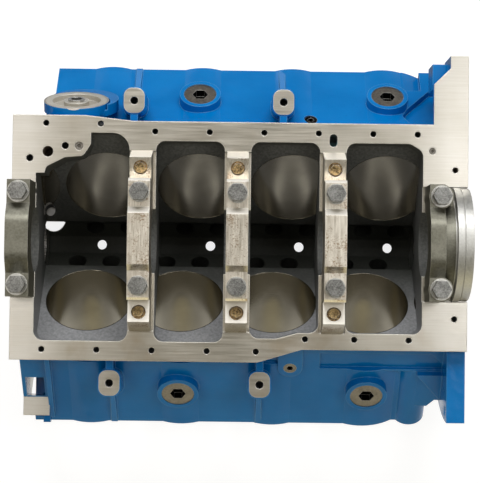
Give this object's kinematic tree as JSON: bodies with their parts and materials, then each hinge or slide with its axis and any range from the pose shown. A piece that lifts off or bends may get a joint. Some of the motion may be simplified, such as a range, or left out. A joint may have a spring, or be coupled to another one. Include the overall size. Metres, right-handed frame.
{
  "type": "engine block",
  "caption": "V-shaped engine block lying on its decks, main bearing caps bolted on, painted outside with bare machined faces and open crankcase bays.",
  "frame": {"origin": "on the crank axis at the centre main bearing", "axes": "+X along the crank to the flywheel end, +Y to the bank beside the oil filter, +Z to the sump: the block lies upside down on the inner edges of its decks"},
  "size_m": [0.5436, 0.4418, 0.3071],
  "materials": {
    "block": "blue enamel over cast iron, bare where machined",
    "cap_steel": "milled steel",
    "cap_iron": "bare cast iron",
    "bolt": "zinc-phosphated steel",
    "screw": "yellow zinc on steel",
    "bearing": "tin-lead faced steel strip",
    "plug": "bare steel plug",
    "dowel": "bright steel tube"
  },
  "bodies": {
    "root": {"cam_bearings": "bearing", "camshaft_plug": "plug", "core_plugs_left": "plug", "core_plugs_right": "plug", "engine_block": "block", "filter_nipple": "dowel", "flange_dowels": "dowel", "gallery_plugs_front": "plug", "gallery_plugs_rear": "plug", "head_dowels_left": "dowel", "head_dowels_right": "dowel", "jacket_drain_plug_left": "plug", "jacket_drain_plug_right": "plug", "main_bolts_left": "bolt", "main_bolts_right": "bolt", "main_cap_1": "cap_iron", "main_cap_2": "cap_steel", "main_cap_3": "cap_steel", "main_cap_4": "cap_steel", "main_cap_5": "cap_iron", "main_washers_left": "bolt", "main_washers_right": "bolt", "pump_pad_plug": "plug", "rail_plug": "plug", "side_screws_left": "screw", "side_screws_right": "screw"}
  },
  "joints": []
}
